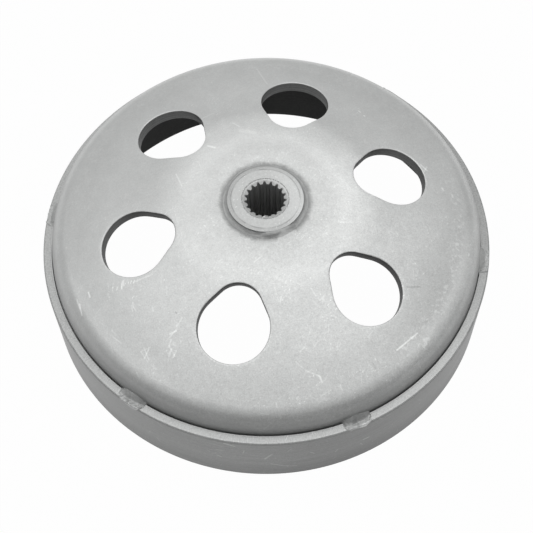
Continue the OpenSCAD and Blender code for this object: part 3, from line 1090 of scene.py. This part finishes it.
def broached_bore():
    """Walls of the spline: fine broach lines along the axis, dull, and painted nearly black as shade.
    """
    finish = Finish("broached_bore")
    _, x, y, z, r = finish.coordinates()
    lines = finish.joined(x, y, z * 0.05).noise(3.6, 3.0) - 0.5
    # Painted light: paler near the mouth, where light comes in, and in the grooves between the teeth.
    painted_mouth_light = z.ramp(FACE_TOP - 2.2, FACE_TOP - 0.6)
    hollow = r.ramp(TOOTH_TIP_R / MM, GROOVE_R / MM)
    shade = BORE_SHADE * (1 + lines * 1.2 + hollow * 0.9) + painted_mouth_light * 0.05
    return finish.steel(shade, 0.0, 0.7, lines * 0.01, specular=0.05)


def hub_weld_metal():
    """Weld round the hub: dull, streaked round the hub, and fading into the plate at its toe."""
    finish = Finish("hub_weld_metal")
    spot, x, y, _, r = finish.coordinates()
    turn = y.maths("ARCTAN2", y, x)
    streaks = finish.joined(turn * 2.5, r * 1.6).noise(1.3, 3.0) - 0.5
    blotch = spot.grain((2.6, 0.12), (0.8, 0.10), (0.35, 0.12))
    toe = 1 - weld_heat_and_painted_light(spot, r, y)
    # Painted shade: the weld is darker at the front; painted light lifts the shade just under the hub's
    # front edge.
    front = (x * 0.34 + y * 0.94).ramp(-3.0, -12.0)
    painted_fill_under_collar = r.ramp(12.2, 11.2) * front
    shade = HUB_WELD_SHADE * (1 + blotch + streaks * 0.7 - front * 0.28 + painted_fill_under_collar * 0.3)
    shade += (SKIN_SHADE * 0.87 - shade) * toe
    height = spot.grain((0.7, 0.04), (0.3, 0.02)) + streaks * 0.06
    return finish.steel(shade, 0.45, 0.5 + blotch * 0.3, height)


def rim_weld_metal():
    """Tack welds: darker up the skirt, with painted light on their outer part and lip."""
    finish = Finish("rim_weld_metal")
    spot, x, _, _, r = finish.coordinates()
    lip = finish.node("Attribute", {"attribute_name": "lip"}, output="Fac")
    blotch = spot.grain((2.2, 0.14), (0.8, 0.18), (0.35, 0.18))
    # Painted light: the outer part is paler like the ring's top, and the lip carries a painted
    # highlight.
    outer = (r + blotch).ramp(65.4, 66.8)
    # Painted light: the welds at the left and right are paler.
    painted_side_light = abs(x).ramp(35.0, 58.0)
    shade = WELD_SHADE + outer * (0.10 - painted_side_light * 0.12) + lip * (0.26 - painted_side_light * 0.20) + painted_side_light * 0.09
    shade *= 1 + blotch
    height = spot.grain((0.7, 0.06), (0.3, 0.04))
    return finish.steel(shade, 0.5, 0.46 + blotch * 0.2, height)


# ------ floor and light

FRONT = Vector((cos(CAMERA_TURN), sin(CAMERA_TURN), 0))
FLOOR_SIZE = 6
FLOOR_Z = -0.02 * MM  # just under the rim, so that the two don't flicker
FLOOR_PAINT = 0.4
FLOOR_WHITE = 0.985
ROOM_TOP = 0.56  # strengths of the room's light
ROOM_BACK = 0.5
ROOM_FRONT = 0.05
ROOM_LEFT = 0.15
SOFTBOX_PLACE = FRONT * -0.2 + Vector((0, 0, 0.9))
SOFTBOX_SIZE = (1.45, 1.0)
SOFTBOX_POWER = 4.1


def floor_finish():
    """White floor: plain grey paint, over which the eye and metal see an even white."""
    finish = Finish("floor_white")
    path = finish.node("LightPath", output="Is Camera Ray")
    seen = path.maths("MAXIMUM", path, path.other("Is Glossy Ray"))
    seen = seen.maths("MAXIMUM", seen, path.other("Is Transmission Ray"))
    paint = finish.node("BsdfDiffuse", values={"Color": grey(FLOOR_PAINT)})
    white = finish.node("Emission", values={"Color": grey(1), "Strength": 1.0})
    both = finish.node("MixShader", values={0: seen * FLOOR_WHITE, 1: paint, 2: white})
    finish.node("OutputMaterial", values={"Surface": both})
    return finish.owner


def studio_world():
    """A soft room: bright above, paler behind the object than before it."""
    finish = Finish("studio", bpy.data.worlds)
    way = finish.node("TexCoord", output="Generated")
    x, y, z = finish.split(way)
    front = x * FRONT.x + y * FRONT.y
    side = front.ramp(-0.3, 0.85)
    left = x * FRONT.y - y * FRONT.x
    horizon = (side * (ROOM_FRONT - ROOM_BACK) + ROOM_BACK) * (1 + left * ROOM_LEFT)
    height = z.ramp(0.0, 0.95)
    light = horizon + height * (ROOM_TOP - horizon)
    room = finish.node("Background", values={"Color": grey(1), "Strength": light})
    finish.node("OutputWorld", values={"Surface": room})
    return finish.owner


bpy.ops.mesh.primitive_plane_add(size=FLOOR_SIZE, location=(0, 0, FLOOR_Z))
floor = bpy.context.object
floor.name = "floor"
floor.data.materials.append(floor_finish())
bpy.context.scene.world = studio_world()

bpy.ops.object.light_add(type="AREA", location=SOFTBOX_PLACE)
softbox = bpy.context.object
softbox.name = "softbox_above"
softbox.rotation_euler = SOFTBOX_PLACE.to_track_quat("Z", "Y").to_euler()
softbox.data.shape = "ELLIPSE"
softbox.data.size, softbox.data.size_y = SOFTBOX_SIZE
softbox.data.energy = SOFTBOX_POWER

bpy.context.scene.view_settings.view_transform = "Standard"

# ------ what each piece wears


def wear(piece, finishes, kind=None):
    """Gives a piece its finishes; kind(normal, centre) names the one a face wears."""
    for finish in finishes:
        piece.data.materials.append(finish)
    if kind:
        for face in piece.data.polygons:
            face.material_index = kind(face.normal, face.center)


def dish_side(normal, centre):
    """0 outer skin, 1 wall of a window, 2 inside of the drum."""
    r = hypot(centre.x, centre.y)
    outward = (normal.x * centre.x + normal.y * centre.y) / r
    if normal.z < -0.5 or (r > SECTOR_OUT_R and outward < -0.3):
        return 2
    return 1 if r < SECTOR_OUT_R and abs(normal.z) < 0.5 else 0


def hub_side(normal, centre):
    """0 turned outside, 1 the bore below its lead-in."""
    return 1 if hypot(centre.x, centre.y) < GROOVE_R + 0.01 * MM and abs(normal.z) < 0.4 else 0


wear(dish, [blasted_skin(), sheared_wall(), dark_inside()], dish_side)
wear(hub, [turned_hub(), broached_bore()], hub_side)
wear(ring, [turned_ring()])
wear(hub_weld, [hub_weld_metal()])
tack_finish = rim_weld_metal()
for weld in rim_welds:
    wear(weld, [tack_finish])

# ------ how far the points are off

TREES = [tree_of(piece) for piece, _, _ in worn]


def shows(place):
    """Whether nothing of the object hides a place from the camera."""
    eye = camera.matrix_world.translation
    way = place - eye
    reach = way.length - 0.05 * MM
    return all(tree.ray_cast(eye, way.normalized(), reach)[0] is None for tree in TREES)


def extreme(places, axis, sign):
    """The smallest (sign 1) or largest (sign -1) x or y at which one of the places shows."""
    spots = sorted((sign * in_picture(place)[axis], i) for i, place in enumerate(places))
    return next((sign * value for value, i in spots if shows(places[i])), None)


def middle(places):
    """Middle of the span in x and in y in which the places show."""
    ends = [(extreme(places, axis, 1), extreme(places, axis, -1)) for axis in (0, 1)]
    return [None if None in pair else sum(pair) / 2 for pair in ends]


def places_of(piece):
    return [vertex.co.copy() for vertex in piece.data.vertices]


def window_rim(index):
    """The vertices on a window's upper edge, where the outer skin meets the punched wall."""
    skin, wall = set(), set()
    for face in dish.data.polygons:
        if face.material_index < 2:
            (skin, wall)[face.material_index].update(face.vertices)
    places = [dish.data.vertices[i].co.copy() for i in skin & wall]
    return [place for place in places
            if round(atan2(place.y, place.x) / SECTOR) % WINDOWS == index]


def found_points():
    everything = [place for piece, _, _ in worn for place in places_of(piece)]
    found = {"left": (extreme(everything, 0, 1), None), "right": (extreme(everything, 0, -1), None),
             "top": (None, extreme(everything, 1, 1)), "bottom": (None, extreme(everything, 1, -1))}
    found["hub_face"] = middle([place for place in places_of(hub) if place.z > FACE_Z - 0.01 * MM])
    for i in range(WINDOWS):
        found[f"window_{i + 1}"] = middle(window_rim(i))
    for i, name in RIM_WELD_POINTS.items():
        found[name] = middle(places_of(rim_welds[i]))
    return found


def points_off():
    """How far in x and y, in image points, each thing shows from its point."""
    found = found_points()
    return {name: [None if None in pair else round(pair[1] - pair[0], 2)
                   for pair in zip(POINTS[name], found[name])] for name in POINTS}


points_off()
